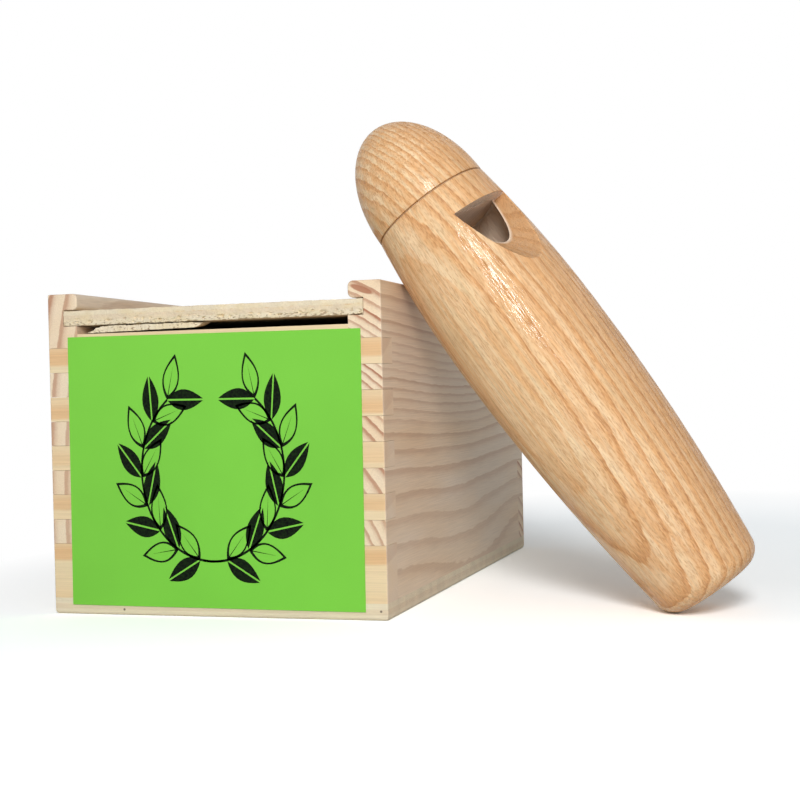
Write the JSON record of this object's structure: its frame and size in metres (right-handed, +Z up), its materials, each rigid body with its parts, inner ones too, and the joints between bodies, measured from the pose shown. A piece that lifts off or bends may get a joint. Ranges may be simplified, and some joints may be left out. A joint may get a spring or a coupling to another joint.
{
  "type": "bird call",
  "caption": "Turned wooden bird call, a barrel with a scooped window under a domed cap, leaning on its finger-jointed pine box with a sliding lid and a front label.",
  "frame": {"origin": "centre of the underside of the box's bottom board", "axes": "+X to the box's right, where the call leans; +Y from the labelled front to the back; +Z up"},
  "size_m": [0.1669, 0.1523, 0.1176],
  "materials": {
    "box_pine": "planed bare pine",
    "lid_pine": "sawn bare softwood",
    "label_paper": "printed matt paper",
    "call_ash": "satin varnish on turned ash",
    "block_wood": "bare turned wood"
  },
  "bodies": {
    "box": {"bottom_board": "box_pine", "left_side": "box_pine", "right_side": "box_pine", "front_wall": "box_pine", "back_wall": "box_pine", "label_card": "label_paper"},
    "lid": {"sliding_lid": "lid_pine"},
    "call": {"whistle_body": "call_ash", "fipple_block": "block_wood", "mouth_cap": "call_ash"}
  },
  "joints": [
    {"name": "lid_slide", "type": "slide", "parent": "box", "child": "lid", "axis": [0, -1, 0], "range_m": [0, 0.14]},
    {"name": "call_lift", "type": "slide", "parent": "box", "child": "call", "axis": [0, 0, 1], "range_m": [0, 0.1]}
  ]
}
